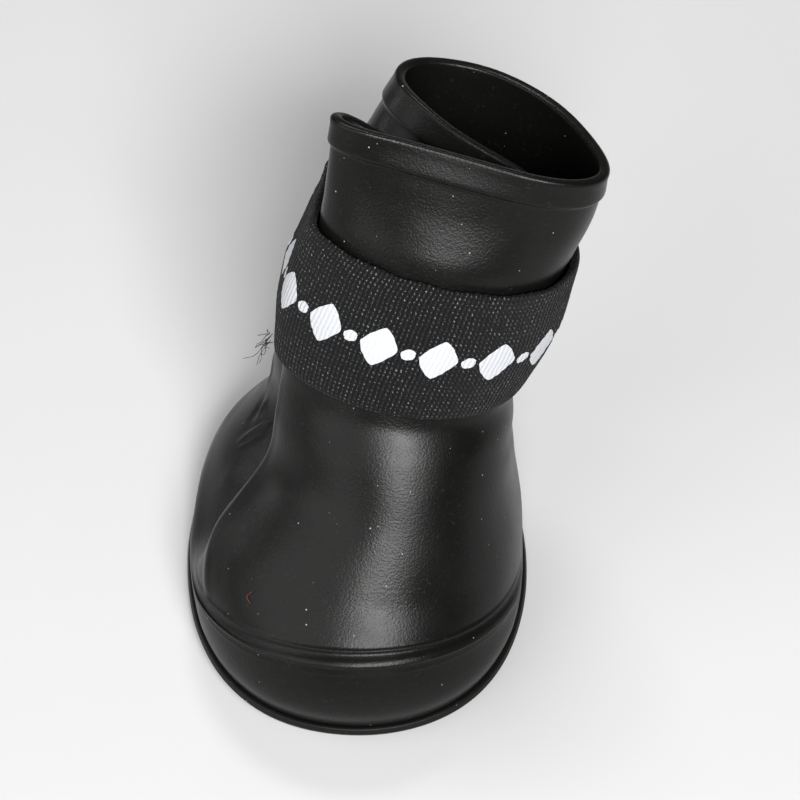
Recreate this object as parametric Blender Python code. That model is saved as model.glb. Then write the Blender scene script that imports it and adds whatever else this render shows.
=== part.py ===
"""A dog's rain boot: a moulded upper with a folded bellows on one side, a sole, an insole and a strap.

The toe points to -Y, +Z is up, the boot's left is +X. The origin is on the ground under the sole's middle.
The upper is lofted through sections. A section is a closed curve in a plane that is level at the sole and
leans back and to the side at the collar. The bellows is a Z-shaped fold in that curve, on the boot's right.
"""

import bpy
import numpy as np

# Sole and insole
SOLE_LENGTH = 0.0602
SOLE_WIDTH = 0.0496
SOLE_THICKNESS = 0.0028  # from the ground to the ledge that carries the upper
LUG_HEIGHT = 0.0011
LUG_WIDTH = 0.0028
LUG_PITCH = 0.0046
LUG_MARGIN = 0.0028  # from the sole's edge to the ends of the lugs
LUG_SINK = 0.0005  # how far a lug reaches into the plate that it is moulded to
FOREFOOT_LUGS = 6
HEEL_LUGS = 4
RAND_WIDTH = 0.0010  # ledge of the sole outside the upper
RAND_ROUND = 0.0004
TOE_SPRING = 0.0014
INSOLE_THICKNESS = 0.0010

# Upper
WALL = 0.0011
SHAFT_WIDTH = 0.0352
SHAFT_DEPTH = 0.0260
COLLAR_HEIGHT = 0.0683  # middle of the collar above the ground
COLLAR_BACK = 0.0288  # middle of the collar behind the middle of the sole
COLLAR_SIDE = 0.0158  # and to the boot's left
SHAFT_TILT = np.radians(20.0)
SIDE_LEAN = np.radians(14.0)
BAND_HEIGHT = 0.0040
BAND_STEP = 0.0005
BEAD_WIDTH = 0.0018
BEAD_STEP = 0.0008
CAP_STEP = 0.0003
PLEAT_DROP = 0.0038  # how far the inner fold hangs below the rim

# Strap
STRAP_WIDTH = 0.0215
STRAP_THICKNESS = 0.0013
STRAP_LAP = 0.0130
STRAP_END = 0.63  # where its free end lies, as a share of the way from the front round the boot's left
STRAP_LEVEL = 7.09  # row of SECTIONS at the strap's middle

GAP = 0.0003  # between pieces that touch on the real boot

# One row for each section, from the sole up. Shares of the named sizes:
# back, depth, height and side place the section, tilt leans it, hinge is how much of it ramps up to the toe,
# shaft blends sole sizes into shaft sizes, and form picks between the columns of OUTLINES.
SECTION_COLUMNS = ("back", "depth", "height", "side", "width", "tilt", "hinge", "shaft", "form")
SECTIONS = np.array([
    (0.000, 1.000, 0.000, 0.000, 1.000, 0.00, 0.40, 0.00, 0.00),
    (0.000, 1.012, 0.046, 0.000, 1.015, 0.20, 0.40, 0.00, 0.00),
    (0.054, 0.945, 0.107, 0.000, 1.017, 0.53, 0.42, 0.00, 0.00),
    (0.176, 0.950, 0.179, 0.105, 0.982, 0.67, 0.70, 0.20, 0.55),
    (0.309, 1.030, 0.277, 0.300, 0.866, 0.83, 0.90, 0.55, 0.92),
    (0.414, 1.117, 0.378, 0.343, 0.890, 0.96, 1.00, 0.85, 1.00),
    (0.506, 1.113, 0.464, 0.406, 0.898, 1.03, 1.00, 1.00, 1.40),
    (0.618, 1.126, 0.611, 0.605, 0.970, 1.01, 1.00, 1.00, 2.00),
    (0.756, 1.100, 0.753, 0.785, 0.945, 1.02, 1.00, 1.00, 2.15),
    (0.900, 1.035, 0.881, 0.925, 0.990, 1.00, 1.00, 1.00, 2.60),
    (1.000, 1.000, 1.000, 1.000, 1.000, 1.00, 1.00, 1.00, 3.00),
])

# Control points of the closed curve, from the boot's left round the front to the fold and back by the heel.
# Each form has an across and a deep column, as shares of half the width and half the depth.
# The last column is how much of PLEAT_DROP the rim has there.
OUTLINES = {
    "left side": (0.99, -0.10, 0.99, -0.10, 1.03, -0.22, 1.05, -0.52, 0.0),
    "left front": (0.92, -0.45, 0.91, -0.54, 0.88, -0.70, 0.82, -0.80, 0.0),
    "left toe": (0.73, -0.76, 0.68, -0.86, 0.56, -1.00, 0.46, -0.82, 0.0),
    "toe": (0.42, -0.95, 0.36, -1.02, 0.16, -1.10, 0.10, -0.70, 0.0),
    "toe middle": (0.06, -1.02, 0.00, -1.05, -0.24, -1.06, -0.27, -0.59, 0.0),
    "right toe": (-0.30, -0.98, -0.36, -0.95, -0.60, -0.88, -0.62, -0.49, 0.0),
    "right front": (-0.56, -0.87, -0.66, -0.74, -0.86, -0.62, -0.93, -0.44, 0.0),
    "lip front": (-0.75, -0.71, -0.86, -0.49, -1.02, -0.34, -1.10, -0.30, 0.0),
    "lip": (-0.86, -0.55, -0.945, -0.27, -1.00, -0.12, -1.04, -0.12, 0.14),
    "lip back": (-0.925, -0.41, -0.83, -0.19, -0.80, -0.20, -0.72, -0.22, 0.58),
    "return outside": (-0.96, -0.29, -0.62, -0.40, -0.48, -0.50, -0.36, -0.34, 1.00),
    "return": (-0.98, -0.18, -0.40, -0.58, -0.12, -0.72, 0.06, -0.46, 1.16),
    "return inside": (-0.99, -0.08, -0.24, -0.56, 0.26, -0.78, 0.44, -0.60, 1.14),
    "inner fold": (-0.995, 0.02, -0.34, -0.40, 0.36, -0.60, 0.54, -0.32, 1.02),
    "inner back": (-0.99, 0.12, -0.60, -0.16, 0.00, -0.46, 0.14, -0.10, 0.76),
    "rear panel inside": (-0.97, 0.26, -0.84, 0.12, -0.44, -0.26, -0.20, 0.08, 0.36),
    "rear panel": (-0.92, 0.42, -0.97, 0.38, -0.82, 0.02, -0.42, 0.34, 0.10),
    "rear turn": (-0.81, 0.60, -0.95, 0.64, -1.04, 0.32, -0.60, 0.66, 0.0),
    "right heel": (-0.63, 0.80, -0.76, 0.86, -0.94, 0.66, -0.54, 1.02, 0.0),
    "heel right": (-0.36, 0.96, -0.45, 1.01, -0.58, 0.94, -0.32, 1.20, 0.0),
    "heel middle": (0.00, 1.02, -0.04, 1.05, -0.04, 1.06, 0.10, 1.20, 0.0),
    "heel left": (0.44, 0.94, 0.42, 0.97, 0.50, 0.99, 0.46, 0.92, 0.0),
    "left heel": (0.78, 0.66, 0.80, 0.69, 0.88, 0.68, 0.73, 0.52, 0.0),
    "left rear": (0.95, 0.30, 0.98, 0.30, 1.04, 0.22, 0.92, 0.02, 0.0),
}
FORMS = 4
BEAD_ROW = 2

# Rows of SECTIONS at which the mesh has a ring, apart from those of the bead, the strap and the band
OUTSIDE_ROWS = (0, 0.5, 1, 1.5, 2.5, 3, 3.5, 4, 4.5, 5, 5.5, 8.6, 9, 9.35)
INSIDE_ROWS = (0, 0.5, 1, 1.5, 2, 2.5, 3, 3.5, 4, 4.5, 5, 5.5, 6, 6.6, 7.3, 8, 8.6, 9.3, 10)
ROUND_STEPS = 72
SOLE_STEPS = 60
STRAP_STEPS = 64
STRAP_ROWS = 5

BLACK_PVC = ((0.028, 0.029, 0.026, 1.0), 0.42)
SOLE_PVC = ((0.024, 0.025, 0.023, 1.0), 0.50)
BOARD = ((0.020, 0.020, 0.020, 1.0), 0.85)
WEBBING = ((0.012, 0.012, 0.013, 1.0), 0.80)


def clear_scene():
    for item in list(bpy.data.objects):
        bpy.data.objects.remove(item, do_unlink=True)


def material(name, look):
    """A Principled material of one colour and roughness; nothing on the boot is metal."""
    colour, roughness = look
    made = bpy.data.materials.new(name)
    made.use_nodes = True
    shader = made.node_tree.nodes["Principled BSDF"]
    shader.inputs["Base Color"].default_value = colour
    shader.inputs["Roughness"].default_value = roughness
    shader.inputs["Metallic"].default_value = 0.0
    made.diffuse_color = colour
    return made


def add_object(name, points, faces, look):
    """One smooth-shaded mesh object from its points and faces."""
    mesh = bpy.data.meshes.new(name)
    mesh.from_pydata([tuple(p) for p in points], [], faces)
    mesh.validate()
    made = bpy.data.objects.new(name, mesh)
    bpy.context.scene.collection.objects.link(made)
    mesh.shade_smooth()
    mesh.set_sharp_from_angle(angle=np.radians(38.0))
    mesh.materials.append(material(name + "_finish", look))
    return made


def through_rows(table, at):
    """The table's rows as a smooth curve (Catmull-Rom), read at whole or part row numbers."""
    last = len(table) - 1
    padded = np.vstack([2 * table[0] - table[1], table, 2 * table[-1] - table[-2]])
    low = np.clip(np.floor(at).astype(int), 0, last - 1)
    part = (at - low)[:, None]
    before, start, end, after = (padded[low + step] for step in range(4))
    return 0.5 * (
        2 * start
        + (end - before) * part
        + (2 * before - 5 * start + 4 * end - after) * part**2
        + (3 * start - before - 3 * end + after) * part**3
    )


def round_curve(control, turns):
    """A closed uniform cubic B-spline of the control points, read at shares of one turn."""
    count = len(control)
    low = np.floor(turns * count).astype(int)
    part = (turns * count - low)[:, None]
    before, start, end, after = (control[(low + step) % count] for step in (-1, 0, 1, 2))
    return (
        (1 - part) ** 3 * before
        + (3 * part**3 - 6 * part**2 + 4) * start
        + (-3 * part**3 + 3 * part**2 + 3 * part + 1) * end
        + part**3 * after
    ) / 6


def outline(form):
    """Across, deep and drop of the control points, blended between two neighbouring forms.

    The blend is stretched so that its curve just fills -1 to 1 both ways, and a section has its named size.
    """
    table = np.array(list(OUTLINES.values()))
    form = min(max(form, 0.0), FORMS - 1.0)
    low = min(int(form), FORMS - 2)
    part = form - low
    pairs = [table[:, 2 * k:2 * k + 2] for k in (low, low + 1)]
    across_deep = pairs[0] * (1 - part) + pairs[1] * part
    curve = round_curve(across_deep, np.linspace(0, 1, 193))
    low_corner, high_corner = curve.min(axis=0), curve.max(axis=0)
    fitted = (2 * across_deep - low_corner - high_corner) / (high_corner - low_corner)
    return np.hstack([fitted, table[:, -1:] * max(0.0, form - (FORMS - 2))])


def spring(y):
    """Height of the sole's underside: level, then a parabola up to TOE_SPRING at the toe."""
    start = 0.25 * SOLE_LENGTH
    return TOE_SPRING * (np.maximum(0.0, -y - start) / (SOLE_LENGTH / 2 - start)) ** 2


def shaft_axis():
    """Unit vector square to the collar's plane."""
    axis = np.array([np.tan(SIDE_LEAN), np.tan(SHAFT_TILT), 1.0])
    return axis / np.linalg.norm(axis)


def middle_surface(rows, turns):
    """Middle of the upper's wall: a grid of points, one ring for each row number.

    Across and deep are laid out in x and y. The height falls from front to rear in proportion to the depth,
    except near the sole, where it ramps up only ahead of the hinge. The lean takes height off towards +X.
    """
    rings = []
    base = SOLE_THICKNESS + GAP
    edge = 2 * RAND_WIDTH + WALL
    for values in through_rows(SECTIONS, np.asarray(rows, float)):
        row = dict(zip(SECTION_COLUMNS, values))
        across, deep, drop = round_curve(outline(row["form"]), turns).T
        shaft = min(max(row["shaft"], 0.0), 1.0)
        width = row["width"] * ((SOLE_WIDTH - edge) * (1 - shaft) + SHAFT_WIDTH * shaft)
        depth = row["depth"] * ((SOLE_LENGTH - edge) * (1 - shaft) + SHAFT_DEPTH * shaft)
        x = row["side"] * COLLAR_SIDE + across * width / 2
        y = row["back"] * COLLAR_BACK + deep * depth / 2
        rise = depth * np.tan(SHAFT_TILT) * row["tilt"]
        z = base + row["height"] * (COLLAR_HEIGHT - base) - rise / 2 + rise * ramp(deep, row["hinge"])
        z -= (across * width / 2) * np.tan(SIDE_LEAN) * min(max(row["form"] / 2, 0.0), 1.0)
        z += spring(y) * min(max(1 - row["height"] / SECTIONS[3, 2], 0.0), 1.0)
        point = np.column_stack([x, y, z])
        rings.append(point - drop[:, None] * PLEAT_DROP * shaft_axis())
    return np.array(rings)


def ramp(deep, hinge):
    """1 at the front and 0 at the rear: a straight line, or a hyperbola that levels out behind the hinge."""
    hinge = min(max(hinge, 0.3), 1.0)
    ahead = hinge - (deep + 1) / 2
    return (np.sqrt(ahead**2 + 0.01 * (1 - hinge)) + ahead) / 2 / hinge if hinge < 1 else ahead


def outward(grid):
    """Unit normals of a grid of rings: along the ring crossed with up the rows."""
    along = np.roll(grid, -1, axis=1) - np.roll(grid, 1, axis=1)
    up = np.gradient(grid, axis=0)
    normal = np.cross(up, along)
    return normal / np.linalg.norm(normal, axis=2, keepdims=True)


def upper_side(rows, turns, offset):
    """The middle surface moved along its normals by an offset for each row and turn."""
    rows = np.asarray(rows, float)
    step = 0.02
    below, here, above = (middle_surface(rows + shift, turns) for shift in (-step, 0.0, step))
    stacked = np.stack([below, here, above])
    normal = np.array([outward(stacked[:, k])[1] for k in range(len(rows))])
    grid = here + normal * offset[..., None]
    grid[rows == 0, :, 2] = here[rows == 0, :, 2]
    return grid


def row_length(row):
    """Distance between the middles of a section and the next one, in metres."""
    ends = middle_surface([row, row + 1], np.linspace(0, 1, 49)[:-1]).mean(axis=1)
    return np.linalg.norm(ends[1] - ends[0])


def raised(rows, turns):
    """How far the outside stands proud of the plain wall: the collar's band, the bead and the toe cap."""
    last = len(SECTIONS) - 1
    band_start = last - BAND_HEIGHT / row_length(last - 1)
    half_bead = BEAD_WIDTH / 2 / row_length(BEAD_ROW)
    rows = np.asarray(rows, float)[:, None]
    deep = round_curve(outline(0.0), turns)[:, 1][None, :]
    hinge = through_rows(SECTIONS, np.array([BEAD_ROW]))[0, SECTION_COLUMNS.index("hinge")]
    ahead = np.clip(3.0 * ramp(deep, hinge) - 0.1, 0.0, 1.0)
    band = np.where(rows > band_start, BAND_STEP, 0.0)
    bead = np.where(abs(rows - BEAD_ROW) < half_bead, BEAD_STEP, 0.0)
    cap = np.where(rows < BEAD_ROW - half_bead, CAP_STEP, 0.0)
    return band + (bead + cap) * ahead


def strap_rows():
    """Rows across the strap's width, from its lower edge to its upper edge."""
    whole = int(STRAP_LEVEL)
    half = STRAP_WIDTH / (row_length(whole - 1) + row_length(whole))
    return np.linspace(STRAP_LEVEL - half, STRAP_LEVEL + half, STRAP_ROWS)


def outside_rows():
    """OUTSIDE_ROWS, the strap's rows, and close pairs of rows at the edges of the bead and of the band."""
    last = len(SECTIONS) - 1
    band_start = last - BAND_HEIGHT / row_length(last - 1)
    half_bead = BEAD_WIDTH / 2 / row_length(BEAD_ROW)
    edge = 0.02
    steps = [band_start - edge, band_start + edge, (band_start + last) / 2, last]
    for side in (-half_bead, half_bead):
        steps += [BEAD_ROW + side - edge, BEAD_ROW + side + edge]
    return sorted(list(OUTSIDE_ROWS) + list(strap_rows()) + steps)


def ring_faces(rings, count, first=0):
    """Quads between neighbouring rings of count points each."""
    faces = []
    for ring in range(rings - 1):
        low = first + ring * count
        for k in range(count):
            after = (k + 1) % count
            faces.append((low + k, low + count + k, low + count + after, low + after))
    return faces


def make_upper():
    """One shell: up the outside, over the rim, down the inside and across the foot of the wall."""
    turns = np.linspace(0, 1, ROUND_STEPS + 1)[:-1]
    rows = outside_rows()
    outside = upper_side(rows, turns, WALL / 2 + raised(rows, turns))
    inside_rows = INSIDE_ROWS[::-1]
    inside = upper_side(inside_rows, turns, np.full((len(inside_rows), ROUND_STEPS), -WALL / 2))
    grid = np.concatenate([outside, inside])
    count = ROUND_STEPS
    faces = ring_faces(len(grid), count)
    last = (len(grid) - 1) * count
    for k in range(count):
        after = (k + 1) % count
        faces.append((last + k, k, after, last + after))
    return add_object("upper", grid.reshape(-1, 3), faces, BLACK_PVC)


def sole_ring(inset, height):
    """The foot's outline, inset from the sole's edge, at a height above the sole's underside."""
    turns = np.linspace(0, 1, SOLE_STEPS + 1)[:-1]
    across, deep, _ = round_curve(outline(0.0), turns).T
    x = across * (SOLE_WIDTH / 2 - inset)
    y = deep * (SOLE_LENGTH / 2 - inset)
    return np.column_stack([x, y, height + spring(y)])


def stack_rings(rings):
    """A closed solid of rings from the bottom up, with a fan of faces on each end ring."""
    count = len(rings[0])
    points = np.concatenate(rings + [rings[0].mean(axis=0)[None], rings[-1].mean(axis=0)[None]])
    bottom, top = len(points) - 2, len(points) - 1
    faces = ring_faces(len(rings), count)
    last = (len(rings) - 1) * count
    for k in range(count):
        after = (k + 1) % count
        faces.append((bottom, k, after))
        faces.append((top, last + after, last + k))
    return points, faces


def level_rings(height, inset):
    """Rings that shrink to the middle, so that a face with toe spring bends with it."""
    return [sole_ring(inset + share * SOLE_WIDTH / 2, height) for share in (0.0, 0.25, 0.5, 0.75)]


def lug_centres():
    """Middles of the lugs along the boot: forefoot lugs from the origin on, heel lugs from the rear."""
    rear = SOLE_LENGTH / 2 - LUG_MARGIN - LUG_WIDTH
    fore = [-k * LUG_PITCH for k in range(FOREFOOT_LUGS)]
    return fore + [rear - k * LUG_PITCH for k in range(HEEL_LUGS)]


def make_lug(name, middle):
    """A bar across the sole, its ends on the inset outline, its foot following the toe spring."""
    edge = sole_ring(LUG_MARGIN, 0.0)
    stations = np.linspace(middle - LUG_WIDTH / 2, middle + LUG_WIDTH / 2, 3)
    left, right = edge[edge[:, 0] >= 0], edge[edge[:, 0] < 0]
    left, right = (side[np.argsort(side[:, 1])] for side in (left, right))
    high = [np.interp(stations, left[:, 1], left[:, 0]), stations]
    low = [np.interp(stations, right[:, 1], right[:, 0])[::-1], stations[::-1]]
    x, y = np.hstack([high, low])
    foot = np.column_stack([x, y, spring(y)])
    head = foot + (0, 0, LUG_HEIGHT + LUG_SINK)
    points = np.concatenate([foot, head])
    count = len(foot)
    faces = [tuple(range(count))[::-1], tuple(range(count, 2 * count))]
    faces += [(k, (k + 1) % count, count + (k + 1) % count, count + k) for k in range(count)]
    made = add_object(name, points, faces, SOLE_PVC)
    made.hide_render = True
    made.display_type = "WIRE"
    return made


def make_sole():
    """The plate with its rounded rand, with the lugs joined on."""
    under = level_rings(LUG_HEIGHT, RAND_WIDTH)[::-1]
    side = [
        sole_ring(RAND_ROUND, LUG_HEIGHT + 0.25 * RAND_ROUND),
        sole_ring(0.0, LUG_HEIGHT + 1.25 * RAND_ROUND),
        sole_ring(0.0, SOLE_THICKNESS - RAND_ROUND),
        sole_ring(RAND_ROUND, SOLE_THICKNESS),
    ]
    top = level_rings(SOLE_THICKNESS, RAND_WIDTH)
    points, faces = stack_rings(under + side + top)
    sole = add_object("sole", points, faces, SOLE_PVC)
    for number, middle in enumerate(lug_centres()):
        join = sole.modifiers.new(f"lug_{number}", "BOOLEAN")
        join.operation = "UNION"
        join.object = make_lug(f"lug_guide_{number}", middle)
    return sole


def make_insole():
    """A thin board that lies on the sole inside the upper's wall."""
    inset = RAND_WIDTH + WALL + GAP
    low = SOLE_THICKNESS + GAP
    rings = level_rings(low, inset)[::-1] + level_rings(low + INSOLE_THICKNESS, inset)
    return add_object("insole", *stack_rings(rings), BOARD)


def taut_path(ring, offset, stations):
    """A band pulled tight round a ring, in the ring's x and y.

    For each direction it takes the ring's furthest point and moves it out by the offset, which gives the
    ring's convex hull moved out. The path is read at stations, shares of its length from the front, where
    every ring is smooth, round the boot's left.
    """
    angles = np.linspace(0, 2 * np.pi, 721)[:-1] - np.pi / 2
    facing = np.column_stack([np.cos(angles), np.sin(angles)])
    touched = ring[np.argmax(ring[:, :2] @ facing.T, axis=0), :2]
    hull = touched + facing * offset
    hull = np.vstack([hull, hull[:1]])
    length = np.concatenate([[0.0], np.cumsum(np.linalg.norm(np.diff(hull, axis=0), axis=1))])
    at = (stations % 1.0) * length[-1]
    return np.column_stack([np.interp(at, length, hull[:, k]) for k in range(2)]), length[-1]


def on_section(path, row):
    """Puts x and y points on the plane of a section."""
    ring = middle_surface([row], np.linspace(0, 1, 25)[:-1])[0]
    plane = np.linalg.lstsq(np.column_stack([ring[:, :2], np.ones(len(ring))]), ring[:, 2], rcond=None)[0]
    return np.column_stack([path, path @ plane[:2] + plane[2]])


def make_strap():
    """The webbing band: it starts at the heel, goes round the shaft, and ends over its own start."""
    rows = strap_rows()
    turns = np.linspace(0, 1, 4 * ROUND_STEPS + 1)[:-1]
    rings = upper_side(rows, turns, np.full((STRAP_ROWS, len(turns)), WALL / 2))
    _, around = taut_path(rings[1], GAP, np.zeros(1))
    lap = STRAP_LAP / around
    climb = 2.5 * STRAP_THICKNESS / around
    over = STRAP_END - lap - climb
    stations = np.linspace(STRAP_END - 1 - lap, STRAP_END, STRAP_STEPS)
    stations = np.sort(np.concatenate([stations, [over, over + climb / 2]]))
    lift = np.clip((stations - over) / climb, 0.0, 1.0)[:, None]
    sides = []
    for extra in (0.0, STRAP_THICKNESS):
        grid = []
        for row, ring in zip(rows, rings):
            plain, _ = taut_path(ring, GAP + extra, stations)
            lifted, _ = taut_path(ring, 2 * GAP + STRAP_THICKNESS + extra, stations)
            grid.append(on_section(plain * (1 - lift) + lifted * lift, row))
        sides.append(np.array(grid))
    inner, outer = sides
    loops = np.concatenate([outer, inner[::-1]]).transpose(1, 0, 2)
    steps, count = loops.shape[:2]
    faces = ring_faces(steps, count)
    faces += [tuple(range(count)), tuple(range((steps - 1) * count, steps * count))[::-1]]
    return add_object("strap", loops.reshape(-1, 3), faces, WEBBING)


clear_scene()
make_upper()
make_sole()
make_insole()
make_strap()
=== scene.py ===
"""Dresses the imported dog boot: moulded upper, lugged sole, insole, webbing strap, and the studio round it.

Lengths are in metres. The toe points to -Y, +Z is up and the boot's left is +X.
A place on the upper is a turn, 0 to 1 from the boot's left round the toe, the fold and the heel, and a row,
0 at the sole to 10 at the rim.
"""

import bpy
import numpy as np
from bpy.props import FloatProperty, FloatVectorProperty, PointerProperty
from mathutils import Matrix, Vector


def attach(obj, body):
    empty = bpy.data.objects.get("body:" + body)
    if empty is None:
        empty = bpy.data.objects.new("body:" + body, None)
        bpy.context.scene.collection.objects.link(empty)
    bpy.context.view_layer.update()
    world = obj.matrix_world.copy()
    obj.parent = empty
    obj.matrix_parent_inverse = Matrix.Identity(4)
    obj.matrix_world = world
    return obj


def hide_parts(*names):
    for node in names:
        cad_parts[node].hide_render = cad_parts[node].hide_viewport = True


bl_info = {
    "name": "Dog Boot",
    "version": (1, 0, 0),
    "blender": (4, 5, 0),
    "location": "View3D > Sidebar > Dog Boot",
    "description": "Builds a moulded dog boot with its strap around a packed frame",
    "category": "Add Mesh",
}

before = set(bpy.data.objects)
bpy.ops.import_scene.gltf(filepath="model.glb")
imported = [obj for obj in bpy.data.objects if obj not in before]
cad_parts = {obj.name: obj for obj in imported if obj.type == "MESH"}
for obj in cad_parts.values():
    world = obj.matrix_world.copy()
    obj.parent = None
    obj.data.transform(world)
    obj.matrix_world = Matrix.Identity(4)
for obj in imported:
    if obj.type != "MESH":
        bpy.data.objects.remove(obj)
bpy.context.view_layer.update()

# One row for each section of the upper, from the sole up. Shares of the named sizes:
# back, depth, height and side place the section, tilt leans it, hinge is how much of it ramps up to the toe,
# shaft blends sole sizes into shaft sizes, and form picks between the columns of OUTLINES.
SECTIONS = np.array([
    (0.000, 1.000, 0.000, 0.000, 1.000, 0.00, 0.40, 0.00, 0.00),
    (0.000, 1.012, 0.046, 0.000, 1.015, 0.20, 0.40, 0.00, 0.00),
    (0.054, 0.945, 0.107, 0.000, 1.017, 0.53, 0.42, 0.00, 0.00),
    (0.176, 0.950, 0.179, 0.105, 0.982, 0.67, 0.70, 0.20, 0.55),
    (0.309, 1.030, 0.277, 0.300, 0.866, 0.83, 0.90, 0.55, 0.92),
    (0.414, 1.117, 0.378, 0.343, 0.890, 0.96, 1.00, 0.85, 1.00),
    (0.506, 1.113, 0.464, 0.406, 0.898, 1.03, 1.00, 1.00, 1.40),
    (0.618, 1.126, 0.611, 0.605, 0.970, 1.01, 1.00, 1.00, 2.00),
    (0.756, 1.100, 0.753, 0.785, 0.945, 1.02, 1.00, 1.00, 2.15),
    (0.900, 1.035, 0.881, 0.925, 0.990, 1.00, 1.00, 1.00, 2.60),
    (1.000, 1.000, 1.000, 1.000, 1.000, 1.00, 1.00, 1.00, 3.00),
])

# Control points of a section's closed curve. Each form, at the foot, the ankle, the grip and the collar, has
# an across and a deep column, as shares of half the width and half the depth. The last column is the rim's
# drop.
OUTLINES = {
    "left side": (0.99, -0.10, 0.99, -0.10, 1.03, -0.22, 1.05, -0.52, 0.0),
    "left front": (0.92, -0.45, 0.91, -0.54, 0.88, -0.70, 0.82, -0.80, 0.0),
    "left toe": (0.73, -0.76, 0.68, -0.86, 0.56, -1.00, 0.46, -0.82, 0.0),
    "toe": (0.42, -0.95, 0.36, -1.02, 0.16, -1.10, 0.10, -0.70, 0.0),
    "toe middle": (0.06, -1.02, 0.00, -1.05, -0.24, -1.06, -0.27, -0.59, 0.0),
    "right toe": (-0.30, -0.98, -0.36, -0.95, -0.60, -0.88, -0.62, -0.49, 0.0),
    "right front": (-0.56, -0.87, -0.66, -0.74, -0.86, -0.62, -0.93, -0.44, 0.0),
    "lip front": (-0.75, -0.71, -0.86, -0.49, -1.02, -0.34, -1.10, -0.30, 0.0),
    "lip": (-0.86, -0.55, -0.945, -0.27, -1.00, -0.12, -1.04, -0.12, 0.14),
    "lip back": (-0.925, -0.41, -0.83, -0.19, -0.80, -0.20, -0.72, -0.22, 0.58),
    "return outside": (-0.96, -0.29, -0.62, -0.40, -0.48, -0.50, -0.36, -0.34, 1.00),
    "return": (-0.98, -0.18, -0.40, -0.58, -0.12, -0.72, 0.06, -0.46, 1.16),
    "return inside": (-0.99, -0.08, -0.24, -0.56, 0.26, -0.78, 0.44, -0.60, 1.14),
    "inner fold": (-0.995, 0.02, -0.34, -0.40, 0.36, -0.60, 0.54, -0.32, 1.02),
    "inner back": (-0.99, 0.12, -0.60, -0.16, 0.00, -0.46, 0.14, -0.10, 0.76),
    "rear panel inside": (-0.97, 0.26, -0.84, 0.12, -0.44, -0.26, -0.20, 0.08, 0.36),
    "rear panel": (-0.92, 0.42, -0.97, 0.38, -0.82, 0.02, -0.42, 0.34, 0.10),
    "rear turn": (-0.81, 0.60, -0.95, 0.64, -1.04, 0.32, -0.60, 0.66, 0.0),
    "right heel": (-0.63, 0.80, -0.76, 0.86, -0.94, 0.66, -0.54, 1.02, 0.0),
    "heel right": (-0.36, 0.96, -0.45, 1.01, -0.58, 0.94, -0.32, 1.20, 0.0),
    "heel middle": (0.00, 1.02, -0.04, 1.05, -0.04, 1.06, 0.10, 1.20, 0.0),
    "heel left": (0.44, 0.94, 0.42, 0.97, 0.50, 0.99, 0.46, 0.92, 0.0),
    "left heel": (0.78, 0.66, 0.80, 0.69, 0.88, 0.68, 0.73, 0.52, 0.0),
    "left rear": (0.95, 0.30, 0.98, 0.30, 1.04, 0.22, 0.92, 0.02, 0.0),
}
LAST_ROW = len(SECTIONS) - 1
BEAD_ROW = 2
FORMS = 4

# Creases and dents of the upper: where each starts and ends as (turn, row), its half width and its height in
# metres. A height below zero is a trough.
CREASES = {
    "fold's edge": ((0.322, 5.80), (0.338, 2.90), 0.00075, 0.00024),
    "fold's soft ridge": ((0.345, 3.20), (0.322, 2.15), 0.0010, 0.00032),
    "ridge's inner side": ((0.312, 3.30), (0.292, 2.40), 0.0016, -0.00014),
    "recess crease": ((0.638, 3.34), (0.632, 3.84), 0.00042, 0.00036),
    "recess crease's foot": ((0.630, 3.34), (0.624, 3.84), 0.00050, -0.00030),
    "recess second crease": ((0.642, 3.66), (0.662, 3.98), 0.00040, 0.00034),
    "recess second foot": ((0.650, 3.62), (0.670, 3.94), 0.00050, -0.00026),
    "recess patch": ((0.610, 3.20), (0.603, 2.80), 0.00120, 0.00016),
    "rear panel edge": ((0.690, 4.90), (0.676, 4.10), 0.00050, 0.00030),
    "heel cup crease": ((0.660, 4.35), (0.715, 3.65), 0.0009, 0.00028),
    "heel flex": ((0.740, 3.95), (0.900, 3.80), 0.0017, -0.00026),
    "heel swell": ((0.750, 3.45), (0.890, 3.35), 0.0020, 0.00018),
    "left flex": ((0.960, 4.20), (1.050, 4.75), 0.0015, -0.00016),
    "left swell": ((0.965, 4.65), (1.040, 5.10), 0.0013, 0.00010),
    "toe dent": ((0.060, 2.60), (0.110, 2.90), 0.0030, -0.00008),
    "shaft dent": ((0.115, 8.50), (0.130, 9.20), 0.0044, -0.00005),
    "shaft swell": ((0.040, 8.30), (0.055, 9.10), 0.0042, 0.00005),
    "rear shaft dent": ((0.800, 8.40), (0.815, 9.20), 0.0034, -0.00020),
}

# White marks of the strap in metres: how far along its pitch and across the strap each one's middle lies,
# its half length and half height, and the power of its superellipse, 2 for a round one, 1 for a lozenge.
MARKS = {
    "lozenge": (0.0000, 0.0, 0.0024, 0.0031, 1.30),
    "dot": (0.0038, 0.0, 0.0009, 0.0009, 2.00),
}
MARK_PITCH = 0.0076
MARK_LIFT = 0.00004

FOREFOOT_LUGS = 6
HEEL_LUGS = 4
RIB_HEIGHT = 0.00007
STRAP_DENT = 0.00012
STRAP_SWELL = 0.00006
YARN_RADIUS = 0.00006
LINT_RADIUS = 0.000045
HOOK_RADIUS = 0.00003

# The camera stands in front of the toe. It aims a little to the right of the boot's middle and above it.
BOOT_MIDDLE = (0.006, 0.0048, 0.033)
CAMERA_DISTANCE = 0.415
CAMERA_ELEVATION = np.radians(55.0)
CAMERA_LENS = 134.0
CAMERA_RIGHT = 0.0003
CAMERA_ABOVE = 0.0014
FLOOR_HALF = 1.5
WORLD_STRENGTH = 0.05

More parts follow.
